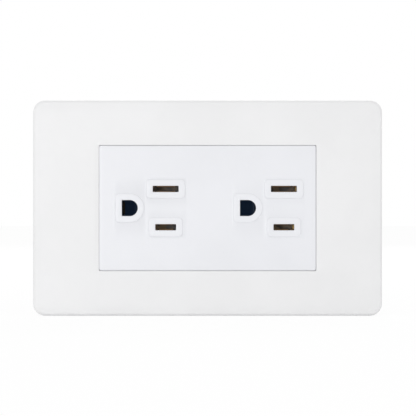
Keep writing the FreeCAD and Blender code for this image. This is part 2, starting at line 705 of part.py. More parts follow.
def ground_strap():
    """Ground busbar: a flat strap behind both clips, with a neck that rises between the wires to its lug."""
    half = strip_thickness / 2
    bar = plate(strap_right - strap_left, ground_strap_height, 1.0, strap_y - half, strap_y + half,
                (strap_left + strap_right) / 2, 0)
    x = ground_terminal_x
    path = [(strap_y, 0), (strap_y, lug_z), (clamp_front_y, lug_z)]
    neck = bent_strip(path, strip_thickness, strip_bend, x - ground_neck / 2, x + ground_neck / 2)
    lug = block(x - lug_width / 2, x + lug_width / 2, clamp_front_y, lug_end_y, lug_z - half, lug_z + half)
    holes = [rod(rivet_radius, V(line, strap_y - 2, 0), V(0, 1, 0), 4) for line in ground_lines]
    holes += [rod(stake_radius + turning_gap, V(peg, strap_y - 2, 0), V(0, 1, 0), 4) for peg in stake_x]
    holes.append(rod(lug_hole_radius, V(x, screw_y, lug_z - 2), V(0, 0, 1), 4))
    return union([bar, neck, lug]).cut(Part.Compound(holes)).removeSplitter()


def ground_rivets():
    """Rivets through the ground strap and both ground clips."""
    grip = leaf_thickness + strip_thickness
    base_y = ground_web_y - leaf_thickness / 2
    return Part.Compound([rivet(V(x, base_y, 0), V(0, 1, 0), grip) for x in ground_lines])


# ---------------------------------------------------------------- terminals
def terminal_screw(x):
    """Terminal screw on the upper side, head outwards, with a slot and a cross cut."""
    top = head_top_z
    head = rod(screw_head_radius, V(x, screw_y, seat_z), V(0, 0, 1), screw_head_height)
    head = head.makeFillet(0.5, edges_where(head, lambda p: abs(p.z - top) < 1e-4))
    shank = rod(screw_radius, V(x, screw_y, screw_tip_z), V(0, 0, 1), seat_z - screw_tip_z)
    shank = shank.makeChamfer(0.3, edges_where(shank, lambda p: abs(p.z - screw_tip_z) < 1e-4))
    floor = top - screw_slot_depth
    w = screw_slot_width / 2
    slot = block(x - screw_head_radius - 1, x + screw_head_radius + 1, screw_y - w, screw_y + w, floor, top + 1)
    cross = block(x - w, x + w, screw_y - screw_cross_length / 2, screw_y + screw_cross_length / 2, floor, top + 1)
    return head.fuse(shank).removeSplitter().cut(slot.fuse(cross)).removeSplitter()


def clamp_plate(x):
    """Clamp that the terminal screw draws up against the wires, with a groove for each wire."""
    low = clamp_top_z - clamp_thickness
    body = block(x - clamp_width / 2, x + clamp_width / 2, clamp_front_y, clamp_front_y + clamp_length, low,
                 clamp_top_z)
    body = body.makeFillet(0.5, edges_of_direction(body, V(0, 0, 1)))
    cuts = [rod(clamp_bore, V(x, screw_y, low - 1), V(0, 0, 1), clamp_thickness + 2)]
    for side in (-wire_side, wire_side):
        centre = V(x + side, clamp_front_y - 1, clamp_top_z + wire_radius - clamp_groove)
        cuts.append(rod(wire_radius, centre, V(0, 1, 0), clamp_length + 2))
    return body.cut(Part.Compound(cuts)).removeSplitter()


def edges_of_direction(shape, direction):
    """Straight edges along one direction."""
    return [e for e in shape.Edges if e.Length > 1e-6
            and abs(abs((e.Vertexes[-1].Point - e.Vertexes[0].Point).normalize().dot(direction)) - 1) < 1e-6]


# ---------------------------------------------------------------- fasteners
def housing_screws():
    """Four screws that hold the two halves of the module together, driven from the back."""
    screws = []
    seat = head_seat_y
    tip = frame_front_y + housing_screw_front
    long, slim = driver_arm, driver_slit / 2
    for x, z in boss_places:
        head = rod(housing_head_radius, V(x, seat, z), V(0, 1, 0), housing_head_height)
        head = head.makeFillet(0.5, edges_where(head, lambda p: abs(p.y - seat - housing_head_height) < 1e-4))
        shank = rod(housing_screw_radius, V(x, tip, z), V(0, 1, 0), seat - tip)
        shank = shank.makeChamfer(0.4, edges_where(shank, lambda p: abs(p.y - tip) < 1e-4))
        arm = [
            block(x - long, x + long, seat + 0.9, base_depth, z - slim, z + slim),
            block(x - slim, x + slim, seat + 0.9, base_depth, z - long, z + long),
        ]
        screws.append(head.fuse(shank).removeSplitter().cut(Part.Compound(arm)).removeSplitter())
    return Part.Compound(screws)


def mounting_screw(x):
    """Machine screw to the wall box: pan head with a slot, a neck where the retainer sits, and the thread."""
    top = ear_front_y - box_head_height
    head = rod(box_head_radius, V(x, top, 0), V(0, 1, 0), box_head_height)
    head = head.makeFillet(1.1, edges_where(head, lambda p: abs(p.y - top) < 1e-4))
    neck = rod(box_screw_neck, V(x, ear_front_y, 0), V(0, 1, 0), -ear_front_y)
    thread = rod(box_screw_radius, V(x, 0, 0), V(0, 1, 0), box_screw_reach)
    end = V(x, box_screw_reach, 0)
    tip = Part.makeCone(box_screw_radius, box_screw_radius * 0.6, box_screw_tip, end, V(0, 1, 0))
    body = union([head, neck, thread, tip])
    slot = block(x - 0.5, x + 0.5, top - 1, top + 1.1, -box_head_radius - 1, box_head_radius + 1)
    cross = block(x - 2.0, x + 2.0, top - 1, top + 1.1, -0.5, 0.5)
    return body.cut(slot.fuse(cross)).removeSplitter()


def screw_retainer(x):
    """Square fibre washer that keeps a mounting screw in its ear."""
    body = plate(retainer_side, retainer_side, 0.5, ear_back_y, ear_back_y + retainer_thickness, x)
    return body.cut(rod(box_screw_neck + turning_gap, V(x, ear_back_y - 1, 0), V(0, 1, 0), 4))


# ---------------------------------------------------------------- all the nodes
def nodes():
    """Name and shape of every node."""
    left_x, right_x = ear_centres()
    made = {
        "cover_plate": cover_plate(),
        "mounting_frame": mounting_frame(),
        "module_face": module_face(),
        "module_base": module_base(),
        "neutral_busbar": line_busbar(),
        "hot_busbar": mirrored_z(line_busbar()),
        "neutral_rivets": line_rivets(),
        "hot_rivets": mirrored_z(line_rivets()),
        "ground_strap": ground_strap(),
        "ground_rivets": ground_rivets(),
        "ground_screw": terminal_screw(ground_terminal_x),
        "ground_clamp": clamp_plate(ground_terminal_x),
        "housing_screws": housing_screws(),
        "mounting_screw_left": mounting_screw(left_x),
        "mounting_screw_right": mounting_screw(right_x),
        "screw_retainer_left": screw_retainer(left_x),
        "screw_retainer_right": screw_retainer(right_x),
    }
    for (x, outer), side in zip(sockets(), ("left", "right")):
        made[f"neutral_clip_{side}"] = blade_clip(x, neutral_slot, outer)
        made[f"hot_clip_{side}"] = mirrored_z(blade_clip(x, hot_slot, outer))
        made[f"ground_clip_{side}"] = ground_clip(x - ground_offset)
    for x, side in zip(terminal_x, ("left", "right")):
        made[f"neutral_screw_{side}"] = terminal_screw(x)
        made[f"neutral_clamp_{side}"] = clamp_plate(x)
        made[f"hot_screw_{side}"] = mirrored_z(terminal_screw(x))
        made[f"hot_clamp_{side}"] = mirrored_z(clamp_plate(x))
    return made


os.makedirs("parts", exist_ok=True)
for name, shape in nodes().items():
    bad = [s for s in shape.Solids if not s.isValid()]
    print(f"{name:24s} solids {len(shape.Solids)} volume {shape.Volume:9.2f} {'INVALID' if bad else ''}")
    shape.exportStep(f"parts/{name}.step")
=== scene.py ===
"""Visual model of a duplex wall outlet: cover plate, socket face, screws, contacts and a plain studio.

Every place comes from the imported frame, in metres: +Z up, +X right, +Y into the wall.
"""

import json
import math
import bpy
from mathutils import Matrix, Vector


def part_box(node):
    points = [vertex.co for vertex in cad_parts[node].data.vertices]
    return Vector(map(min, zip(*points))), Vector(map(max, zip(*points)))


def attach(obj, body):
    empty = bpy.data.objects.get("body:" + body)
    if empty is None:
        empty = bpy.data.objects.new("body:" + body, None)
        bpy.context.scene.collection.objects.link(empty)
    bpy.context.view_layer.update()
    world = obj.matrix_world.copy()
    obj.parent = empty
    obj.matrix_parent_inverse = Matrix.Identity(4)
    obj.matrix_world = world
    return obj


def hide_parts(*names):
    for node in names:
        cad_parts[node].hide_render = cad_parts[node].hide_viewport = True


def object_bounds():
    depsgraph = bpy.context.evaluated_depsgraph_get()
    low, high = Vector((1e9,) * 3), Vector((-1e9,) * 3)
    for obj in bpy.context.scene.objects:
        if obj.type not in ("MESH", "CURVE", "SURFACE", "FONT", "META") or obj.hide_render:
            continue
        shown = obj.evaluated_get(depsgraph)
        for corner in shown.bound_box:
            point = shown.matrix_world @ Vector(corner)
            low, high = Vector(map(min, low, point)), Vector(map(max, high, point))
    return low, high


bl_info = {
    "name": "Duplex Wall Outlet",
    "version": (1, 0, 0),
    "blender": (4, 5, 0),
    "location": "View3D > Sidebar > Outlet",
    "description": "Builds the moulded plates, sockets and screws of a duplex wall outlet on its packed frame",
    "category": "Add Mesh",
}

import bmesh
import bpy
import numpy as np

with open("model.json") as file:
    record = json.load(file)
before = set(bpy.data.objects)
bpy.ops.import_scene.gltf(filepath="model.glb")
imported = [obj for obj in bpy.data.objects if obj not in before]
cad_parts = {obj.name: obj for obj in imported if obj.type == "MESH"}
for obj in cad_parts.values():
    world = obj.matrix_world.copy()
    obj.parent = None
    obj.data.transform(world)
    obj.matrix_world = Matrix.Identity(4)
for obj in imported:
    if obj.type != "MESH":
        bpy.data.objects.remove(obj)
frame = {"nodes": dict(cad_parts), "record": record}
cad_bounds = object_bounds()

TERMINALS = ("neutral_left", "neutral_right", "hot_left", "hot_right", "ground")

# metres
SHARP = 0.0001  # corner of a small moulded block
SOFT = 0.0002  # rounding of a hook, and the width over which a painted boundary fades
FLANGE_BACK = -0.0055  # back of the socket face's flange
SKIRT_FRONT = -0.0057  # front of what stands behind the flange, which overlaps it
HOOK_SPREAD = 0.027  # plate's hooks, left and right of the middle
LATCH_SPREAD = 0.022  # face's latches, left and right of the middle
HOUSING_HEAD = 0.0026  # radius of a housing screw's head
ACROSS = 0.01  # half length of a slot that runs right across a head
PAINTED_GLOW = 0.2  # strength of the painted glow in deep holes and slot mouths, standing in for the light they give back


def screw_of(terminal):
    """Name of a terminal's screw node, such as neutral_screw_left or ground_screw."""
    pole, _, side = terminal.partition("_")
    return f"{pole}_screw_{side}".rstrip("_")


def corners(node):
    """Lowest and highest corners of a node at rest, as arrays in metres."""
    low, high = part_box(node)
    return np.array(low), np.array(high)


# ---------------------------------------------------------------- surfaces
def square_loop(xs, zs):
    """Points once round a rectangle through the given x and z stops, anticlockwise from its low corner."""
    low = np.stack([xs[:-1], np.full(len(xs) - 1, zs[0])], -1)
    right = np.stack([np.full(len(zs) - 1, xs[-1]), zs[:-1]], -1)
    high = np.stack([xs[:0:-1], np.full(len(xs) - 1, zs[-1])], -1)
    left = np.stack([np.full(len(zs) - 1, xs[0]), zs[:0:-1]], -1)
    return np.concatenate([low, right, high, left])


def eased(count):
    """Stops from -1 to 1 that crowd towards both ends: the sine of evenly spaced angles."""
    return np.sin(np.linspace(-math.pi / 2, math.pi / 2, count))


def rounded(loop, rows, centre=(0.0, 0.0)):
    """Rounded rectangles carried along a profile.

    Each row is half width, half height, left corner radius, right corner radius and y. A point of the loop, from -1
    to 1 each way, is stretched to the rectangle; the part of it beyond the corner's centre is then shortened or
    lengthened to the corner's radius.
    """
    half_x, half_z, left, right, y = (column[:, None] for column in np.array(rows, dtype=float).T)
    sx, sz = loop.T
    radius = np.minimum(np.where(sx < 0, left, right), np.minimum(half_x, half_z))
    x, z = half_x * sx, half_z * sz
    core_x = np.clip(x, radius - half_x, half_x - radius)
    core_z = np.clip(z, radius - half_z, half_z - radius)
    beyond = np.hypot(x - core_x, z - core_z)
    scale = np.where(beyond > 1e-9, radius / np.maximum(beyond, 1e-9), 0.0)
    x = centre[0] + core_x + (x - core_x) * scale
    z = centre[1] + core_z + (z - core_z) * scale
    return np.stack([x, np.broadcast_to(y, x.shape), z], -1)


def quarter(count, start=0.0, end=90.0):
    """Angles in radians over part of a circle."""
    return np.radians(np.linspace(start, end, count))


def block_rows(half_x, half_z, radius, y0, y1, edge, steps=4):
    """Profile of a closed block along y, with both rims rounded by quarter circles of the edge radius."""
    angle = quarter(steps)
    inset, lift = edge * (1 - np.sin(angle)), edge * (1 - np.cos(angle))
    rings = [(half_x - i, half_z - i, max(radius - i, 0), max(radius - i, 0)) for i in inset]
    front = [(*ring, y0 + up) for ring, up in zip(rings, lift)]
    back = [(*ring, y1 - up) for ring, up in zip(rings, lift)]
    return [(0, 0, 0, 0, y0)] + front + back[::-1] + [(0, 0, 0, 0, y1)]


def revolved(radius, height, turns, origin, axis):
    """Surface of revolution: radius and height are arrays over rows and, where they vary round the axis, columns.

    A point is the origin plus height times the axis plus radius times the side vector turned by the column's angle.
    The side vector is +X, and the axis is square to it.
    """
    axis, side = np.array(axis, dtype=float), np.array([1.0, 0.0, 0.0])
    other = np.cross(axis, side)
    angle = np.linspace(0, 2 * math.pi, turns, endpoint=False)
    radius = np.broadcast_to(np.atleast_2d(radius.T).T, (len(radius), turns))
    height = np.broadcast_to(np.atleast_2d(height.T).T, (len(height), turns))
    round_axis = np.cos(angle)[:, None] * side + np.sin(angle)[:, None] * other
    return np.array(origin) + height[..., None] * axis + radius[..., None] * round_axis


def nose(surface, loop, x, root, side, half_x, half_root, profile):
    """Catch on a wall: a closed block whose height over its root follows a profile of y and height, to one side.

    Each row is as high as its root and its height together, and is raised by half its height, so the root stays put.
    """
    rows = [(0, 0, 0, 0, profile[0][0])]
    rows += [(half_x, half_root + tall / 2, SHARP, SHARP, y) for y, tall in profile]
    rows += [(0, 0, 0, 0, profile[-1][0])]
    points = rounded(loop, rows, (x, root))
    rise = np.array([profile[0][1]] + [tall for _, tall in profile] + [0.0]) / 2
    points[..., 2] += side * rise[:, None]
    surface.grid(points)


def smooth_step(low, high, value):
    """Zero below low, one above high, and the cubic 3t^2 - 2t^3 between them."""
    t = np.clip((value - low) / (high - low), 0, 1)
    return t * t * (3 - 2 * t)


class Surface:
    """Grids of points gathered into one mesh."""

    def __init__(self):
        self.points, self.quads, self.total = [], [], 0

    def grid(self, points, closed_rows=False, keep=None):
        """Adds a grid whose columns close on themselves, and its rows too if asked; keep masks its quads."""
        rows, columns = points.shape[:2]
        index = self.total + np.arange(rows * columns).reshape(rows, columns)
        if keep is None:
            index = np.hstack([index, index[:, :1]])
        if closed_rows:
            index = np.vstack([index, index[:1]])
        quads = np.stack([index[:-1, :-1], index[1:, :-1], index[1:, 1:], index[:-1, 1:]], -1)
        self.quads.append(quads.reshape(-1, 4) if keep is None else quads[keep])
        self.points.append(points.reshape(-1, 3))
        self.total += rows * columns

    def object(self, name, material):
        """An object made of the gathered grids, with seams merged and normals outwards."""
        mesh = bpy.data.meshes.new(name)
        mesh.from_pydata(np.concatenate(self.points), [], np.concatenate(self.quads).tolist())
        work = bmesh.new()
        work.from_mesh(mesh)
        bmesh.ops.remove_doubles(work, verts=work.verts, dist=2e-6)
        bmesh.ops.dissolve_degenerate(work, edges=work.edges, dist=1e-7)
        bmesh.ops.recalc_face_normals(work, faces=work.faces)
        work.to_mesh(mesh)
        work.free()
        mesh.materials.append(material)
        made = bpy.data.objects.new(name, mesh)
        bpy.context.scene.collection.objects.link(made)
        return made

    def piece(self, name, material, body, nodes, slot, crease=32.0):
        """A visible piece of a body in place of some nodes: smooth, with edges sharp above the crease."""
        made = self.object(name, material)
        made.data.shade_smooth()
        made.data.set_sharp_from_angle(angle=math.radians(crease))
        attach(made, body)
        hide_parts(*nodes)


# ---------------------------------------------------------------- materials
class Value:
    """A number socket in an expression; arithmetic with it adds Math nodes."""

    def __init__(self, shader, socket):
        self.shader, self.socket = shader, socket

    def _with(self, operation, a, b):
        return self.shader.add("Math", {"operation": operation}, {0: a, 1: b})[0]

    def __add__(self, other):
        return self._with("ADD", self, other)

    def __radd__(self, other):
        return self._with("ADD", other, self)

    def __sub__(self, other):
        return self._with("SUBTRACT", self, other)

    def __rsub__(self, other):
        return self._with("SUBTRACT", other, self)

    def __mul__(self, other):
        return self._with("MULTIPLY", self, other)


class Shader:
    """The node tree of a new material or of the world, with one method that adds any node."""

    def __init__(self, name, kind="materials"):
        self.owner = getattr(bpy.data, kind).new(name)
        self.owner.use_nodes = True
        self.tree = self.owner.node_tree
        self.tree.nodes.clear()

    def add(self, kind, settings=None, sockets=None):
        """A node of a kind: its settings or ramp stops first, then values or links for its sockets."""
        node = self.tree.nodes.new("ShaderNode" + kind)
        for key, value in (settings or {}).items():
            if key == "stops":
                ramp = node.color_ramp.elements
                while len(ramp) < len(value):
                    ramp.new(1.0)
                for element, (place, colour) in zip(ramp, value):
                    element.position, element.color = place, (*colour, 1.0)
            else:
                setattr(node, key, value)
        for key, value in (sockets or {}).items():
            if isinstance(value, Value):
                self.tree.links.new(value.socket, node.inputs[key])
            else:
                node.inputs[key].default_value = value
        return [Value(self, socket) for socket in node.outputs]

    def place(self, scale=(1, 1, 1)):
        """Object coordinates, stretched."""
        spot = self.add("TexCoord")[3]
        return self.add("Mapping", {}, {"Vector": spot, "Scale": scale})[0]

    def parts(self, place):
        """The x, y and z of a place."""
        return self.add("SeparateXYZ", {}, {0: place})[:3]

    def size(self, value):
        """A value without its sign."""
        return self.add("Math", {"operation": "ABSOLUTE"}, {0: value})[0]

    def seen_plainly(self):
        """One for a ray from the camera, off a gloss or through a clear surface, zero for any other."""
        rays = self.add("LightPath")
        seen = self.add("Math", {"operation": "MAXIMUM"}, {0: rays[0], 1: rays[3]})[0]
        return self.add("Math", {"operation": "MAXIMUM"}, {0: seen, 1: rays[6]})[0]

    def noise(self, place, scale, detail=3.0, roughness=0.5):
        """Fractal noise from 0 to 1."""
        return self.add("TexNoise", {}, {"Vector": place, "Scale": scale, "Detail": detail,
                                         "Roughness": roughness})[0]

    def between(self, value, low, high, out_low=0.0, out_high=1.0):
        """A value mapped from one range to another, with smooth ends."""
        return self.add("MapRange", {"interpolation_type": "SMOOTHSTEP"},
                        {"Value": value, "From Min": low, "From Max": high, "To Min": out_low, "To Max": out_high})[0]

    def mix(self, factor, a, b):
        """Colour a turning into colour b."""
        a, b = (c if isinstance(c, Value) else (*c, 1.0) for c in (a, b))
        return self.add("Mix", {"data_type": "RGBA"}, {0: factor, 6: a, 7: b})[2]

    def bump(self, height, strength, distance, softened=0.0):
        """Normal that follows a height, over edges that look rounded by the softened radius where there is one."""
        sockets = {"Height": height, "Strength": strength, "Distance": distance}
        if softened:
            sockets["Normal"] = self.add("Bevel", {"samples": 4}, {"Radius": softened})[0]
        return self.add("Bump", {}, sockets)[0]

    def finish(self, sockets):
        """Ends the tree in one principled surface."""
        surface = self.add("BsdfPrincipled", {}, sockets)[0]
        self.add("OutputMaterial", {}, {"Surface": surface})
        return self.owner


def moulded(name, colour, grain=2600.0, roughness=0.42, depth=0.35, softened=0.0, pockets=None):
    """Moulded thermoplastic: faint clouding from the melt, a fine spark-eroded grain, and handled, duller patches.

    Where pockets gives a half width, a depth and a half height, surfaces nearer the middle than these are painted near
    black, a painted shade for the insides of the contact pockets. They also carry a painted glow: a little brown from
    the brass, and blue in the ground holes.
    """
    shader, glow = Shader(name), {}
    place = shader.place()
    cloud = shader.noise(place, 38.0, 3.0)
    flow = shader.noise(shader.place((1.0, 1.0, 0.35)), 150.0, 4.0)
    specks = shader.between(shader.noise(place, 900.0, 2.0), 0.70, 0.80)
    tone = shader.mix(shader.between(cloud, 0.35, 0.65), tuple(0.985 * c for c in colour),
                      tuple(min(1.012 * c, 0.97) for c in colour))
    tone = shader.mix(specks * 0.10, tone, tuple(0.80 * c for c in colour))
    if pockets:
        across, deep, height = shader.parts(place)
        across, height = shader.size(across), shader.size(height)
        inside = 1.0
        for value, limit in zip((across, deep, height), pockets):
            inside = shader.between(value, limit - SOFT, limit, 1.0, 0.0) * inside
        # painted shade: the insides of the contact pockets are painted near black
        tone = shader.mix(inside * 0.9, tone, (0.045, 0.042, 0.04))
        # painted glow: brown from the brass and blue in the ground holes, standing in for light the pockets give back
        brass = shader.mix(shader.between(shader.noise(place, 420.0, 2.0), 0.42, 0.58), (0.035, 0.035, 0.04),
                           (0.20, 0.14, 0.09))
        hole_glow = shader.mix(shader.between(height, 0.0033, 0.0037), (0.02, 0.035, 0.065), brass)
        glow = {"Emission Color": shader.mix(inside, (0, 0, 0), hole_glow), "Emission Strength": PAINTED_GLOW}
    pits = shader.noise(place, grain, 2.0, 0.6)
    height = pits * 0.7 + flow * 0.3
    dull = roughness + (cloud - 0.5) * 0.16 + (pits - 0.5) * 0.10
    return shader.finish({"Base Color": tone, "Roughness": dull, "Normal": shader.bump(height, depth, 4e-5, softened),
                          "IOR": 1.49, "Specular IOR Level": 0.42, **glow})


def metal(name, colour, worn, roughness=0.32, lines=(1, 1, 1), lustre=1.0, softened=0.0, mouth=None, hole_glow=None,
          shanks=None):
    """Stamped or turned metal: rolling lines in one direction, tarnish in soft patches and small scratches.

    Where a mouth's y is given, the metal in front of it carries a painted glow, standing in for the light its slot lets
    in. The faces at the ground clips' depth are painted dark, a painted shade. A hole glow is a painted glow, standing
    in for the light that a deep hole gives back.
    the faces buried against the ground clips are tarnished dark. A trace is the light that a deep hole gives back.
    Shanks gives the distance of two screws' axes from the middle, the radii of their roots and crests, and the y's
    between which they are threaded: the roots are darker, by the square of the distance from the axis, partly real dirt
    and darker plating, partly painted shade.
    """
    shader = Shader(name)
    place = shader.place()
    rolled = shader.noise(shader.place(lines), 700.0, 4.0, 0.65)
    patches = shader.between(shader.noise(place, 160.0, 4.0), 0.42, 0.70)
    scratch = shader.between(shader.noise(shader.place((9.0, 2.0, 3.0)), 420.0, 2.0), 0.66, 0.72)
    tone = shader.mix(patches * 0.8, colour, worn)
    tone = shader.mix(scratch * 0.25, tone, tuple(min(1.25 * c, 1.0) for c in colour))
    dull = roughness + patches * 0.14 + (rolled - 0.5) * 0.12
    sockets = {"Base Color": tone, "Metallic": lustre, "Roughness": dull,
               "Normal": shader.bump(rolled, 0.25, 2e-5, softened)}
    if mouth:
        depth = shader.parts(place)[1]
        # painted shade: the faces at the ground clips' depth are painted dark
        painted_shade_band = shader.between(depth, 0.0143, 0.0145) * shader.between(depth, 0.0153, 0.0155, 1.0, 0.0)
        sockets["Base Color"] = shader.mix(painted_shade_band * 0.9, tone, (0.05, 0.045, 0.04))
        # painted glow: the metal in front of the mouth glows brown, standing in for light let in by its slot
        mouth_glow = shader.between(depth, mouth - 0.0008, mouth, 1.0, 0.0)
        sockets["Emission Color"] = shader.mix(mouth_glow * (0.55 + patches * 0.45), (0, 0, 0), (0.34, 0.22, 0.13))
        sockets["Emission Strength"] = PAINTED_GLOW
    if shanks:
        out, root, crest, start, end = shanks
        across, depth, height = shader.parts(place)
        off = shader.size(across) - out
        groove = shader.between(off * off + height * height, root ** 2, crest ** 2, 1.0, 0.0)
        threaded = shader.between(depth, start, start + SOFT) * shader.between(depth, end - SOFT, end, 1.0, 0.0)
        # thread roots darkened: partly real dirt and darker plating, partly painted shade in the grooves
        sockets["Base Color"] = shader.mix(groove * threaded * 0.9, tone, (0.10, 0.10, 0.105))
    # painted glow: a faint glow standing in for the light a deep hole gives back
    if hole_glow:
        sockets["Emission Color"], sockets["Emission Strength"] = (*hole_glow, 1.0), PAINTED_GLOW
    return shader.finish(sockets)


def fibre(name, colour):
    """Pressed fibre board: matted strands that cross, with a matt, slightly fuzzy surface."""
    shader = Shader(name)
    long = shader.noise(shader.place((1.0, 1.0, 7.0)), 900.0, 3.0)
    cross = shader.noise(shader.place((7.0, 1.0, 1.0)), 900.0, 3.0)
    strands = shader.between(long + cross, 0.75, 1.25)
    tone = shader.mix(strands, tuple(0.72 * c for c in colour), tuple(1.15 * c for c in colour))
    return shader.finish({"Base Color": tone, "Roughness": 0.86 - strands * 0.12,
                          "Normal": shader.bump(strands, 0.5, 6e-5), "IOR": 1.5})


# ---------------------------------------------------------------- sizes and colours that a user may change
def length(name, default, description):
    """A length property, in metres."""
    return bpy.props.FloatProperty(name=name, default=default, min=0.0, precision=5, unit="LENGTH",
                                   description=description)


def colour(name, default, description):
    """A colour property, in linear values."""
    return bpy.props.FloatVectorProperty(name=name, default=default, size=3, min=0.0, max=1.0, subtype="COLOR",
                                         description=description)


class OutletPlate(bpy.types.PropertyGroup):
    """Sizes and colour of the cover plate."""

    corner: length("Corner", 0.004, "Radius of the plate's corners, seen from the front")
    wall: length("Wall", 0.0018, "Thickness of the plate's side walls")
    skin: length("Skin", 0.002, "Thickness of the plate's front")
    crown_width: length("Crown width", 0.0032, "Outer band that falls away towards the wall")
    crown_drop: length("Crown drop", 0.00035, "How far the outer band falls")
    edge: length("Edge radius", 0.0012, "Rounding between the band and the side walls")
    window_gap: length("Window gap", 0.00009, "Gap between the plate and the socket face, above, below and right")
    window_shift: length("Window shift", 0.00003, "How far the window sits to the right of the socket face's middle")
    window_corner: length("Window corner", 0.0004, "Radius of the window's corners")
    lip: length("Window lip", 0.00015, "Rounding of the window's edge")
    foot: length("Foot", 0.0002, "Rounding of the side walls' outer back edge")
    notch: length("Notch", 0.009, "Width of the pry notch under the bottom edge")
    notch_depth: length("Notch depth", 0.0011, "How far the pry notch is cut into the wall")
    tone: colour("Plate colour", (0.864, 0.865, 0.871), "Moulded plate")


class OutletFace(bpy.types.PropertyGroup):
    """Sizes and colour of the socket face."""

    blade_pitch: length("Blade pitch", 0.0127, "Neutral slot to hot slot")
    ground_offset: length("Ground offset", 0.0119, "Line of the slots to the centre of the ground hole")
    neutral_slot: length("Neutral slot", 0.0086, "Length of the longer slot")
    hot_slot: length("Hot slot", 0.0069, "Length of the shorter slot")
    slot_height: length("Slot height", 0.00205, "Height of both slots")
    ground_half: length("Ground half", 0.00265, "Half width of the ground hole")
    pad_margin: length("Pad margin", 0.00215, "Raised pad beyond its hole")
    pad_height: length("Pad height", 0.00035, "How far a pad stands up")
    pad_corner: length("Pad corner", 0.0013, "Radius of a pad's corners")
    pad_brow: length("Pad edge", 0.0002, "Rounding of a pad's upper edge")
    hole_corner: length("Hole corner", 0.00025, "Radius of the holes' sharp corners")
    lip: length("Lip", 0.00012, "Rounding of the mouth of each hole")
    hole_wall: length("Hole wall", 0.0014, "Depth of each hole before it widens")
    relief: length("Relief", 0.0004, "How much wider each hole is behind its wall")
    edge: length("Edge radius", 0.0004, "Rounding round the face")
    corner: length("Corner", 0.0006, "Radius of the face's corners, seen from the front")
    tone: colour("Face colour", (0.838, 0.846, 0.878), "Moulded socket face")


class OutletHardware(bpy.types.PropertyGroup):
    """Sizes and colours of the screws, contacts and frame."""

    screw_pitch: length("Screw pitch", 0.0006, "Terminal screw's advance in one turn")
    box_pitch: length("Box screw pitch", 0.00079, "Mounting screw's advance in one turn")
    thread_depth: length("Thread depth", 0.00028, "Crest to root")
    brass: colour("Brass", (0.58, 0.40, 0.17), "Contacts and hot screws")
    steel: colour("Zinc steel", (0.62, 0.63, 0.64), "Zinc plated screws and clamps")
    green: colour("Green screw", (0.05, 0.26, 0.09), "Ground screw")
    frame_tone: colour("Frame colour", (0.78, 0.79, 0.79), "Moulded mounting frame")
    base_tone: colour("Base colour", (0.74, 0.74, 0.72), "Rear housing")


class OutletStage(bpy.types.PropertyGroup):
    """Floor, light and camera."""

    distance: length("Camera distance", 0.6, "Camera to the front of the outlet")
    aim_x: length("Aim across", 0.00016, "Camera right of the outlet's middle")
    aim_z: length("Aim up", 0.00002, "Camera above the outlet's middle")
    lens: bpy.props.FloatProperty(name="Lens", default=156.7, min=1.0, description="Focal length in millimetres")
    floor: colour("Floor", (0.97, 0.97, 0.97), "Plain pale floor")
    key: bpy.props.FloatProperty(name="Key light", default=0.60, min=0.0, unit="POWER",
                                 description="Power of the soft light from the front right")
    sky: bpy.props.FloatProperty(name="Sky", default=0.72, min=0.0, description="Light from all round")


def settings():
    """The four groups of sizes and colours."""
    scene = bpy.context.scene
    return scene.outlet_plate, scene.outlet_face, scene.outlet_hardware, scene.outlet_stage


MATERIALS = {}


def finish_of(slot):
    """The one material of each of the record's slots."""
    plate, face, hardware, _ = settings()
    grey, turned = tuple(0.6 * c for c in hardware.steel), (1, 1, 6)
    screw_low, screw_high = corners("mounting_screw_right")
    shanks = ((screw_low[0] + screw_high[0]) / 2, 0.00138, 0.00168, 0.0001, screw_high[1] - 0.0009)
    makers = {
        "cover": lambda: moulded("cover_plastic", plate.tone),
        "face": lambda: moulded("face_plastic", face.tone, 3200.0, 0.36, 0.25),
        "frame": lambda: moulded("frame_plastic", hardware.frame_tone, 1500.0, 0.55, 0.5, softened=0.0002),
        # base: painted shade and a painted glow inside its contact pockets
        "base": lambda: moulded("base_plastic", hardware.base_tone, 1800.0, 0.5, 0.45, softened=0.0002,
                                pockets=(0.0322, 0.0125, 0.0125)),
        # contact brass: painted glow at the slot mouths and painted shade at the ground clips' depth
        "contact_brass": lambda: metal("contact_brass", hardware.brass, (0.40, 0.26, 0.13), 0.42, (1, 12, 1),
                                       lustre=0.7, softened=0.0001, mouth=-0.0014),
        # ground clips and rivets: dark navy steel with a faint blue glow, a painted shade and painted glow for the
        # depth of the ground holes
        "spring_steel": lambda: metal("spring_steel", (0.085, 0.10, 0.135), (0.05, 0.06, 0.085), 0.7, (1, 12, 1),
                                      lustre=0.6, softened=0.0001, hole_glow=(0.015, 0.033, 0.072)),
        "rivet": lambda: metal("rivet_brass", (0.55, 0.36, 0.15), (0.30, 0.18, 0.09), 0.36),
        "silver_screw": lambda: metal("silver_screw", hardware.steel, grey, 0.28, turned),
        "brass_screw": lambda: metal("brass_screw", hardware.brass, (0.36, 0.23, 0.10), 0.28, turned),
        "green_screw": lambda: metal("green_screw", hardware.green, (0.03, 0.14, 0.06), 0.35, turned, lustre=0.75),
        "clamp_steel": lambda: metal("clamp_steel", (0.56, 0.56, 0.57), grey, 0.38, (1, 8, 1), softened=0.00015),
        "zinc_steel": lambda: metal("zinc_steel", (0.60, 0.61, 0.64), (0.40, 0.40, 0.38), 0.34, (1, 6, 1),
                                    shanks=shanks),
        "fibre": lambda: fibre("retainer_fibre", (0.16, 0.10, 0.06)),
    }
    if slot not in MATERIALS:
        MATERIALS[slot] = makers[slot]()
    return MATERIALS[slot]


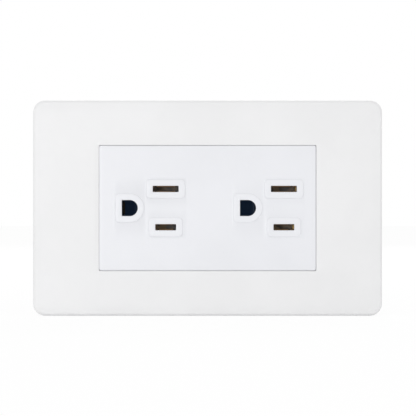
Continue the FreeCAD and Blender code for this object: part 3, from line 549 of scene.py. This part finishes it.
# ---------------------------------------------------------------- cover plate
def plate_shell(plate):
    """Crowned tray with a window: one closed profile carried round from the outer to the window's outline."""
    low, high = corners("cover_plate")
    face_low, face_high = corners("module_face")
    half_x, half_z, back, front = high[0], high[2], high[1], low[1]
    window_x = (face_high[0] - face_low[0]) / 2 + plate.window_gap - plate.window_shift
    window_z = (face_high[2] - face_low[2]) / 2 + plate.window_gap
    slope = math.atan2(plate.crown_drop, plate.crown_width)
    shoulder = front + plate.crown_drop

    def within(inset, y, smallest=0.0):
        """The outline moved inwards, with corners no smaller than asked: half width, half height, radius and y."""
        return half_x - inset, half_z - inset, max(plate.corner - inset, smallest), y

    rows = [within(plate.wall, back), within(plate.foot, back), within(0.0, back - plate.foot)]
    inner_x, inner_z, inner_r, _ = rows[0]
    foot_rows = len(rows)
    # fillet that meets the side wall and the sloping band
    setback = plate.edge * math.tan((math.pi / 2 - slope) / 2)
    for angle in quarter(9, 0, 90 - math.degrees(slope)):
        rows.append(within(plate.edge * (1 - math.cos(angle)), shoulder + setback - plate.edge * math.sin(angle)))
    # sloping band, whose bend into the flat is softened by a low bell curve
    start, end = half_x - rows[-1][0], plate.crown_width + 0.0006
    soften, spread = 0.00003, 0.0004
    for t in np.linspace(0.12, 1.0, 8):
        inset = start * (1 - t) + end * t
        fall = plate.crown_drop * max(0.0, 1 - inset / plate.crown_width)
        fall += soften * math.exp(-((inset - plate.crown_width) / spread) ** 2)
        rows.append(within(inset, front + fall, 0.0008))
    band, lip = rows[-1], plate.lip
    lip_x, lip_z, lip_r = window_x + lip, window_z + lip, plate.window_corner + lip
    outer_rows = len(rows)
    for t in np.linspace(0.1, 1.0, 9):
        rows.append((*(a + (b - a) * t for a, b in zip(band, (lip_x, lip_z, lip_r))), front))
    for angle in quarter(5)[1:]:
        inset = lip * math.sin(angle)
        rows.append((lip_x - inset, lip_z - inset, lip_r - inset, front + lip * (1 - math.cos(angle))))
    inside = front + plate.skin
    rows += [(window_x, window_z, plate.window_corner, inside)]
    window_rows = len(rows)
    fillet = 0.0005
    rows += [(inner_x - fillet, inner_z - fillet, inner_r, inside), (inner_x, inner_z, inner_r, inside + fillet)]
    rows = [(x, z, r, r, y) for x, z, r, y in rows]
    notch = plate.notch / 2 / half_x
    stops = np.sort(np.concatenate([eased(64), np.array([-1.03, -1, 1, 1.03]) * notch]))
    row = np.arange(len(rows))[:, None]
    middle = np.where((row >= outer_rows) & (row < window_rows), plate.window_shift, 0.0)
    points = rounded(square_loop(stops, eased(48)), rows, (middle, 0.0))
    # pry notch: the bottom wall's back edge steps forward over its width
    edge = points[:foot_rows]
    edge[..., 1] -= plate.notch_depth * ((np.abs(edge[..., 0]) < plate.notch / 2 + SHARP) & (edge[..., 2] < 0))
    return points


def plate_fittings(plate):
    """Hooks with sloping noses and small gussets inside the tray, each a closed block with rounded rims."""
    low, high = corners("cover_plate")
    hook_z = corners("mounting_frame")[1][2] + 0.0002
    inside = low[1] + plate.skin
    surface = Surface()
    loop = square_loop(eased(8), eased(8))
    thick, root = 0.00065, 0.0003  # half thicknesses of a hook and of the root of its nose
    hook = block_rows(0.004, thick, SOFT, inside - 0.0004, -0.0006, SOFT)
    hook_nose = [(-0.0023, 0.0), (-0.0020, 0.0007), (-0.0017, 0.0007), (-0.0009, 0.0)]
    for x in (-HOOK_SPREAD, HOOK_SPREAD):
        for side in (1, -1):
            surface.grid(rounded(loop, hook, (x, side * (hook_z + thick))))
            nose(surface, loop, x, side * (hook_z + root), -side, 0.0038, root, hook_nose)
    # gussets between the front and the walls, left out beside the hooks and in the corners
    inner_x, inner_z = high[0] - plate.wall, high[2] - plate.wall
    pitch_x, pitch_z = 0.018, 0.0135
    long, thick, inset = 0.00105, 0.0005, 0.0008
    places = [(i * pitch_x, side * (inner_z - inset), thick, long) for i in range(-2, 3) for side in (1, -1)
              if abs(abs(i * pitch_x) - HOOK_SPREAD) >= 0.005]
    places += [(side * (inner_x - inset), i * pitch_z, long, thick) for i in range(-2, 3) for side in (1, -1)
               if abs(i * pitch_z) <= inner_z - 0.006]
    for x, z, half_x, half_z in places:
        surface.grid(rounded(loop, block_rows(half_x, half_z, SHARP, inside - 0.0003, inside + 0.003, 0.00015), (x, z)))
    return surface


class OUTLET_OT_cover_plate(bpy.types.Operator):
    """Add the crowned cover plate with its window, hooks, gussets and pry notch"""

    bl_idname = "outlet.cover_plate"
    bl_label = "Cover Plate"

    def execute(self, context):
        plate = context.scene.outlet_plate
        surface = Surface()
        surface.grid(plate_shell(plate), closed_rows=True)
        surface.piece("plate_shell", finish_of("cover"), "cover", ["cover_plate"], "cover", 28.0)
        plate_fittings(plate).piece("plate_fittings", finish_of("cover"), "cover", ["cover_plate"], "cover")
        return {"FINISHED"}


# ---------------------------------------------------------------- socket face
def screw_places():
    """The x and z of the four housing screws: the corners of their node, less the radius of their heads."""
    low, high = corners("housing_screws")
    return [(x, z) for x in (low[0] + HOUSING_HEAD, high[0] - HOUSING_HEAD)
            for z in (low[2] + HOUSING_HEAD, high[2] - HOUSING_HEAD)]


def ground_lines():
    """The x of both ground holes: the middles of their clips."""
    return [sum(corner[0] for corner in corners(f"ground_clip_{side}")) / 2 for side in ("left", "right")]


def face_layout(face):
    """Holes of both sockets: centre, half sizes, and the corner radius at the left and the right."""
    holes, small = [], face.hole_corner
    for ground_x in ground_lines():
        blade_x = ground_x + face.ground_offset
        holes.append((ground_x, 0.0, face.ground_half, face.ground_half, small, face.ground_half))
        for z, slot in ((face.blade_pitch / 2, face.neutral_slot), (-face.blade_pitch / 2, face.hot_slot)):
            holes.append((blade_x, z, slot / 2, face.slot_height / 2, small, small))
    return holes


def cell_of(hole, face):
    """Rectangle of the face that holds one hole and its pad: x from, x to, z from, z to.

    The cell of a ground hole ends where the cells of its slots begin, and the middle line parts the two slots.
    """
    x, z = hole[:2]
    ground_left, slot_left, slot_right, border = 0.0055, 0.00676, 0.0071, 0.0008
    top = face.blade_pitch / 2 + face.slot_height / 2 + face.pad_margin + border
    if z == 0:
        return x - ground_left, x + face.ground_offset - slot_left, -top, top
    return (x - slot_left, x + slot_right, *((0.0, top) if z > 0 else (-top, 0.0)))


def stops_between(edges, counts):
    """Stops along a side: each stretch between two edges is crowded towards its own ends."""
    parts = [(a + b) / 2 + (b - a) / 2 * eased(n)[:-1] for a, b, n in zip(edges[:-1], edges[1:], counts)]
    return np.concatenate(parts + [np.array(edges[-1:])])


def face_front(face):
    """Flange with six raised pads and their holes, as one closed surface.

    The flat parts are a grid of x and z stops. Each hole's cell is left out of it and filled by a profile carried
    from the cell's rectangle up the pad's side, over its rim, across its top and down into the hole, to the back.
    """
    low, high = corners("module_face")
    half_x, half_z = (high[0] - low[0]) / 2, (high[2] - low[2]) / 2
    pad_y = low[1]
    face_y = pad_y + face.pad_height
    holes = face_layout(face)
    cells = [cell_of(hole, face) for hole in holes]
    # the flat grid stops short of the outline by the rim, and its border is a stretch of its own, with fewer stops
    rim, border, narrow = 0.0012, 0.001, 0.0015
    rim_x, rim_z = half_x - rim, half_z - rim
    x_edges = [-rim_x, -rim_x + border] + sorted({round(c[k], 9) for c in cells for k in (0, 1)})
    x_edges += [rim_x - border, rim_x]
    top = cells[0][3]
    z_edges = [-rim_z, -rim_z + border, -top, 0.0, top, rim_z - border, rim_z]
    xs = stops_between(x_edges, [4 if b - a < narrow else 29 for a, b in zip(x_edges[:-1], x_edges[1:])])
    zs = stops_between(z_edges, [4, 6, 31, 31, 6, 4])
    surface = Surface()
    keep = np.ones((len(xs) - 1, len(zs) - 1), dtype=bool)
    middle_x, middle_z = (xs[:-1] + xs[1:]) / 2, (zs[:-1] + zs[1:]) / 2
    for x0, x1, z0, z1 in cells:
        keep &= ~(((middle_x > x0) & (middle_x < x1))[:, None] & ((middle_z > z0) & (middle_z < z1))[None, :])
    for y in (face_y, FLANGE_BACK):
        x, z = np.meshgrid(xs, zs, indexing="ij")
        surface.grid(np.stack([x, np.full_like(x, y), z], -1), keep=keep)
    loop = square_loop(xs, zs) / np.array([rim_x, rim_z])
    rows = [(rim_x, rim_z, 0, 0, face_y)]
    for a in quarter(7):
        inset, radius = face.edge * (1 - math.sin(a)), face.corner - face.edge * (1 - math.sin(a))
        rows.append((half_x - inset, half_z - inset, radius, radius, face_y + face.edge * (1 - math.cos(a))))
    rows += [(half_x, half_z, face.corner, face.corner, FLANGE_BACK), (rim_x, rim_z, 0, 0, FLANGE_BACK)]
    surface.grid(rounded(loop, rows))
    foot = 0.0001  # small fillet round each pad
    margin, near, brow, lip = face.pad_margin, face.pad_corner, face.pad_brow, face.lip
    for hole, (x0, x1, z0, z1) in zip(holes, cells):
        x, z, left, right = *hole[:2], *hole[4:]
        half, size = np.array(hole[2:4]), np.array(hole[2:])
        in_x, in_z = (xs > x0 - 1e-7) & (xs < x1 + 1e-7), (zs > z0 - 1e-7) & (zs < z1 + 1e-7)
        ring = square_loop(xs[in_x], zs[in_z])
        centre = np.array([(x0 + x1) / 2, (z0 + z1) / 2])
        unit = (ring - centre) / np.array([(x1 - x0) / 2, (z1 - z0) / 2])
        far = half[0] + margin if z == 0 else near
        pad = np.array([*(half + margin), near, far])
        rows = [(*(pad + foot), face_y), (*(pad + 0.3 * foot * np.array([1, 1, 1, 0])), face_y - 0.3 * foot)]
        rows += [(*(pad - brow * (1 - math.cos(a))), pad_y + brow * (1 - math.sin(a))) for a in quarter(6)]
        for t in (0.35, 0.7, 1.0):
            rows.append((*(half + (margin - brow) * (1 - t) + lip * t), max((near - brow) * (1 - t), left + lip),
                         (far - brow) * (1 - t) + (right + lip) * t, pad_y))
        rows += [(*(half + lip * (1 - math.sin(a))), left, right, pad_y + lip * (1 - math.cos(a)))
                 for a in quarter(4)[1:]]
        wall_y, wide = pad_y + face.hole_wall, size + face.relief
        rows += [(*size, wall_y), (*wide, wall_y + face.relief), (*wide, FLANGE_BACK)]
        walls = rounded(unit, rows, (x, z))
        outer = np.stack([ring[:, 0], np.full(len(ring), face_y), ring[:, 1]], -1)
        inner = outer + np.array([0, FLANGE_BACK - face_y, 0])
        surface.grid(np.concatenate([outer[None], walls, inner[None]]))
    return surface


def face_back(face):
    """Skirt, latches, screw bosses and hold-down ribs behind the flange."""
    low, high = corners("module_face")
    setback, wall, end, rim = 0.00125, 0.0016, high[1], 0.00015
    half_x, half_z = (high[0] - low[0]) / 2 - setback, (high[2] - low[2]) / 2 - setback
    surface = Surface()
    # inset from the skirt's outside, corner radius and y
    profile = [(0, 0.0008, SKIRT_FRONT), (0, 0.0008, end - rim), (rim, 0.0007, end), (wall - rim, 0.0005, end),
               (wall, 0.0004, end - rim), (wall, 0.0004, SKIRT_FRONT)]
    rows = [(half_x - inset, half_z - inset, radius, radius, y) for inset, radius, y in profile]
    surface.grid(rounded(square_loop(eased(20), eased(20)), rows), closed_rows=True)
    small = square_loop(eased(8), eased(8))
    latch_nose = [(-0.0032, 0.0009), (-0.0027, 0.0009), (-0.0009, 0.00005)]
    for x in (-LATCH_SPREAD, LATCH_SPREAD):
        for side in (1, -1):
            nose(surface, small, x, side * (half_z - 0.0002), side, 0.0035, 0.0002, latch_nose)
    # bosses that the housing screws bite into
    radius = np.array([0.0029, 0.0029, 0.0028, 0.0014, 0.0013, 0.0013])
    height = np.array([SKIRT_FRONT, -SHARP, 0.0, 0.0, SHARP, -0.0049])
    for x, z in screw_places():
        surface.grid(revolved(radius, height, 40, (x, 0, z), (0, 1, 0)), closed_rows=True)
    # ribs that hold the blade clips down
    lines = [ground_x + face.ground_offset for ground_x in ground_lines()]
    rib_z = face.blade_pitch / 2 + 0.00295
    for x in (lines[0], sum(lines) / 2, lines[1]):
        for z in (rib_z, -rib_z):
            surface.grid(rounded(small, block_rows(0.003, 0.0003, SHARP, SKIRT_FRONT, 0.0004, SHARP), (x, z)))
    return surface


class OUTLET_OT_socket_face(bpy.types.Operator):
    """Add the socket face with its six raised pads, holes, skirt, latches and bosses"""

    bl_idname = "outlet.socket_face"
    bl_label = "Socket Face"

    def execute(self, context):
        face = context.scene.outlet_face
        face_front(face).piece("face_shell", finish_of("face"), "device", ["module_face"], "face", 30.0)
        face_back(face).piece("face_skirt", finish_of("face"), "device", ["module_face"], "face")
        return {"FINISHED"}


# ---------------------------------------------------------------- screws
def screw_head(surface, radius, height, edge, arms, depth, origin, axis):
    """Head of a screw, closed at its seat.

    The top is a disc of rings: the outer rings fall by the quarter circle of the edge radius. The recess has a flat
    floor at its depth: where a point lies inside one of the arms, half length by half width, with steep sides, the
    top comes down to that floor.
    """
    turns, flat_rings, steep, rise = 144, 44, 4e-5, 0.04 * radius
    angle = np.linspace(0, 2 * math.pi, turns, endpoint=False)
    bend = quarter(7)[1:]
    rings = np.concatenate([np.linspace(0, radius - edge, flat_rings), radius - edge + edge * np.sin(bend)])
    fall = np.concatenate([np.zeros(flat_rings), edge * (1 - np.cos(bend))])
    dome = rise * (1 - (rings / radius) ** 2)
    x, z = rings[:, None] * np.cos(angle), rings[:, None] * np.sin(angle)
    inside = np.zeros_like(x)
    for long, wide in arms:
        within = [1 - smooth_step(limit - steep, limit + steep, np.abs(v)) for limit, v in ((wide, z), (long, x))]
        inside = np.maximum(inside, within[0] * within[1])
        x, z = z, x
    level = height - rise + (dome - fall)[:, None]
    level = level - inside * np.maximum(level - (height - depth), 0)
    radii = np.concatenate([rings, [radius, 0.0]])
    levels = np.concatenate([level, np.zeros((2, turns))])
    surface.grid(revolved(np.broadcast_to(radii[:, None], levels.shape), levels, turns, origin, axis))


def screw_thread(surface, radius, reach, pitch, depth, origin, axis, tip=0.0004):
    """Threaded shank: the radius less the depth times a groove that climbs one pitch in a turn.

    The groove is a smoothed triangle wave of the height over the pitch less the angle's share of a turn. It fades out
    under the head and over the tip, where the shank tapers.
    """
    turns, rows = 40, max(24, int(reach / pitch * 12))
    height = np.linspace(0, reach, rows)
    angle = np.linspace(0, 1, turns, endpoint=False)
    wave = np.abs(2 * ((height[:, None] / pitch - angle[None, :]) % 1.0) - 1)
    groove = smooth_step(0.15, 0.9, wave)
    end = smooth_step(reach - tip, reach, height)
    fade = smooth_step(0, pitch, height) * (1 - end)
    body = radius - depth * groove * fade[:, None] - 0.28 * radius * end[:, None]
    body = np.concatenate([np.zeros((1, turns)), body, np.zeros((1, turns))])
    height = np.concatenate([[0.0], height, [reach]])
    levels = np.broadcast_to(height[:, None], body.shape)
    surface.grid(revolved(body, levels, turns, origin, -np.array(axis, dtype=float)))


class OUTLET_OT_terminal_screws(bpy.types.Operator):
    """Add the five terminal screws with slotted heads and cut threads"""

    bl_idname = "outlet.terminal_screws"
    bl_label = "Terminal Screws"

    def execute(self, context):
        hardware = context.scene.outlet_hardware
        for terminal in TERMINALS:
            node = screw_of(terminal)
            low, high = corners(node)
            out = -1 if terminal.startswith("hot") else 1
            x, y = (low[0] + high[0]) / 2, (low[1] + high[1]) / 2
            top, tip = (low[2], high[2]) if out < 0 else (high[2], low[2])
            head = 0.0018
            seat = (x, y, top - out * head)
            surface = Surface()
            screw_head(surface, (high[0] - low[0]) / 2, head, edge=0.0005, arms=[(ACROSS, 0.00045), (0.0018, 0.00045)],
                       depth=0.0009, origin=seat, axis=(0, 0, out))
            screw_thread(surface, 0.00172, abs(seat[2] - tip), hardware.screw_pitch, hardware.thread_depth,
                         origin=(x, y, seat[2] + out * SHARP), axis=(0, 0, out))
            slot = {"neutral": "silver_screw", "hot": "brass_screw", "ground": "green_screw"}[terminal.split("_")[0]]
            surface.piece(f"{terminal}_thread", finish_of(slot), f"{terminal}_screw", [node], slot, 38.0)
        return {"FINISHED"}


class OUTLET_OT_mounting_screws(bpy.types.Operator):
    """Add the two box screws with slotted pan heads and long threads"""

    bl_idname = "outlet.mounting_screws"
    bl_label = "Mounting Screws"

    def execute(self, context):
        hardware = context.scene.outlet_hardware
        for side in ("left", "right"):
            node = f"mounting_screw_{side}"
            low, high = corners(node)
            x = (low[0] + high[0]) / 2
            head = 0.00218  # its seat stays a hair off the ear
            seat = low[1] + head
            surface = Surface()
            screw_head(surface, (high[0] - low[0]) / 2, head, edge=0.0011, arms=[(0.0005, ACROSS), (0.0005, 0.002)],
                       depth=0.0011, origin=(x, seat, 0), axis=(0, -1, 0))
            neck, ends = 0.0014 * np.array([0, 1, 1, 0]), np.repeat([seat - SHARP, SHARP], 2)
            surface.grid(revolved(neck, ends, 40, (x, 0, 0), (0, 1, 0)))
            screw_thread(surface, 0.00175, high[1], hardware.box_pitch, hardware.thread_depth * 1.5,
                         origin=(x, 0, 0), axis=(0, -1, 0), tip=0.001)
            surface.piece(f"box_screw_{side}", finish_of("zinc_steel"), f"{side}_mounting_screw", [node],
                          "zinc_steel", 38.0)
        return {"FINISHED"}


class OUTLET_OT_housing_screws(bpy.types.Operator):
    """Add the four cross-recessed screws that hold the two housings together"""

    bl_idname = "outlet.housing_screws"
    bl_label = "Housing Screws"

    def execute(self, context):
        low, high = corners("housing_screws")
        surface = Surface()
        head = 0.0018
        seat, root = high[1] - head, high[1] - head + SHARP
        for x, z in screw_places():
            screw_head(surface, HOUSING_HEAD, head, edge=0.0005, arms=[(0.0015, 0.00035)] * 2, depth=0.0009,
                       origin=(x, seat, z), axis=(0, 1, 0))
            screw_thread(surface, 0.00125, root - low[1], pitch=0.0011, depth=0.00025, origin=(x, root, z),
                         axis=(0, 1, 0), tip=0.0008)
        slot = next(p["material_slot"] for p in frame["record"]["subparts"] if p["node"] == "housing_screws")
        surface.piece("housing_screw_set", finish_of(slot), "device", ["housing_screws"], slot, 38.0)
        return {"FINISHED"}


class OUTLET_OT_carried_nodes(bpy.types.Operator):
    """Give every node that is shown as it is the material of its slot, except the ground clips and rivets, which get
    dark steel as a painted shade
    """

    bl_idname = "outlet.carried_nodes"
    bl_label = "Frame and Contacts"

    def execute(self, context):
        for part in frame["record"]["subparts"]:
            node = frame["nodes"][part["node"]]
            # ground clips and rivets get the dark steel, a painted shade for the depth of the ground holes
            painted_dark_in_hole = part["node"].startswith(("ground_clip", "ground_rivets"))
            material = finish_of("spring_steel" if painted_dark_in_hole else part["material_slot"])
            for slot in node.material_slots:
                slot.material = material
            if not node.material_slots:
                node.data.materials.append(material)
        return {"FINISHED"}


# ---------------------------------------------------------------- stage
def shown_white(name, tint, share):
    """Plain diffuse surface that cameras and mirrors see mostly as the white studio, with a soft shadow left."""
    shader = Shader(name)
    dust = shader.between(shader.noise(shader.place(), 60.0), 0.3, 0.7)
    tone = shader.mix(dust, tuple(0.99 * c for c in tint), tint)
    matt = shader.add("BsdfDiffuse", {}, {"Color": tone})[0]
    glow = shader.add("Emission", {}, {"Color": (1, 1, 1, 1), "Strength": 1.02})[0]
    both = shader.add("MixShader", {}, {0: shader.seen_plainly() * share, 1: matt, 2: glow})[0]
    shader.add("OutputMaterial", {}, {"Surface": both})
    return shader.owner


def surroundings(level):
    """World that is white to the eye and in reflections, and lights the object at the given level."""
    sky = Shader("studio", "worlds")
    strength = sky.add("MapRange", {}, {"Value": sky.seen_plainly(), "To Min": level, "To Max": 1.0})[0]
    back = sky.add("Background", {}, {"Color": (1, 1, 1, 1), "Strength": strength})[0]
    sky.add("OutputWorld", {}, {"Surface": back})
    return sky.owner


class OUTLET_OT_stage(bpy.types.Operator):
    """Add the floor, the soft lights, the white surroundings and the camera"""

    bl_idname = "outlet.stage"
    bl_label = "Studio"

    def execute(self, context):
        scene, stage = context.scene, context.scene.outlet_stage
        low, high = np.array(cad_bounds[0]), np.array(cad_bounds[1])
        middle = (low + high) / 2
        radius = np.array([0.0, 0.4, 1.2, 3.0])
        disc = Surface()
        disc.grid(revolved(radius, np.zeros(4), 96, (middle[0], middle[1], low[2] - SHARP), (0, 0, 1)))
        disc.object("studio_floor", shown_white("studio_floor", stage.floor, 0.88))
        scene.world = surroundings(stage.sky)

        for name, place, size, power in (
            ("key", (0.55, -0.75, 0.50), 0.6, stage.key * 1.0),
            ("fill", (-0.65, -0.70, 0.09), 0.24, stage.key * 1.15),
            ("low", (-0.16, -0.80, 0.00), 0.07, stage.key * 1.4),
            ("rear", (0.15, 0.80, 0.55), 0.8, stage.key * 3.0),
        ):
            lamp = bpy.data.lights.new(name, "AREA")
            lamp.shape, lamp.size, lamp.energy = "DISK", size, power
            light = bpy.data.objects.new(name, lamp)
            light.location = place
            aim = np.array(place) - middle
            light.rotation_euler = (math.atan2(math.hypot(aim[0], aim[1]), aim[2]), 0,
                                    math.atan2(aim[0], -aim[1]))
            scene.collection.objects.link(light)

        lens = bpy.data.cameras.new("camera")
        lens.lens, lens.sensor_width, lens.clip_start = stage.lens, 36.0, 0.01
        camera = bpy.data.objects.new("camera", lens)
        camera.location = (stage.aim_x, low[1] - stage.distance, stage.aim_z)
        camera.rotation_euler = (math.pi / 2, 0, 0)
        scene.collection.objects.link(camera)
        scene.camera = camera
        scene.view_settings.view_transform = "Standard"
        return {"FINISHED"}


class OUTLET_PT_parts(bpy.types.Panel):
    """Lists the outlet's pieces and sizes"""

    bl_idname = "OUTLET_PT_parts"
    bl_label = "Duplex Outlet"
    bl_space_type = "VIEW_3D"
    bl_region_type = "UI"
    bl_category = "Outlet"

    def draw(self, context):
        for operator in OPERATORS:
            self.layout.operator(operator.bl_idname)
        for group in settings():
            column = self.layout.column(align=True)
            for name in group.__annotations__:
                column.prop(group, name)


GROUPS = (("outlet_plate", OutletPlate), ("outlet_face", OutletFace), ("outlet_hardware", OutletHardware),
          ("outlet_stage", OutletStage))
OPERATORS = (OUTLET_OT_carried_nodes, OUTLET_OT_cover_plate, OUTLET_OT_socket_face, OUTLET_OT_terminal_screws,
             OUTLET_OT_mounting_screws, OUTLET_OT_housing_screws, OUTLET_OT_stage)


def register():
    """Registers the property groups, operators and panel."""
    for name, group in GROUPS:
        bpy.utils.register_class(group)
        setattr(bpy.types.Scene, name, bpy.props.PointerProperty(type=group))
    for kind in OPERATORS + (OUTLET_PT_parts,):
        bpy.utils.register_class(kind)


def unregister():
    """Takes them all out again."""
    for kind in (OUTLET_PT_parts,) + OPERATORS[::-1]:
        bpy.utils.unregister_class(kind)
    for name, group in GROUPS[::-1]:
        delattr(bpy.types.Scene, name)
        bpy.utils.unregister_class(group)


def main():
    """Builds everything in order."""
    register()
    for operator in OPERATORS:
        group, name = operator.bl_idname.split(".")
        getattr(getattr(bpy.ops, group), name)()


if __name__ == "__main__":
    main()
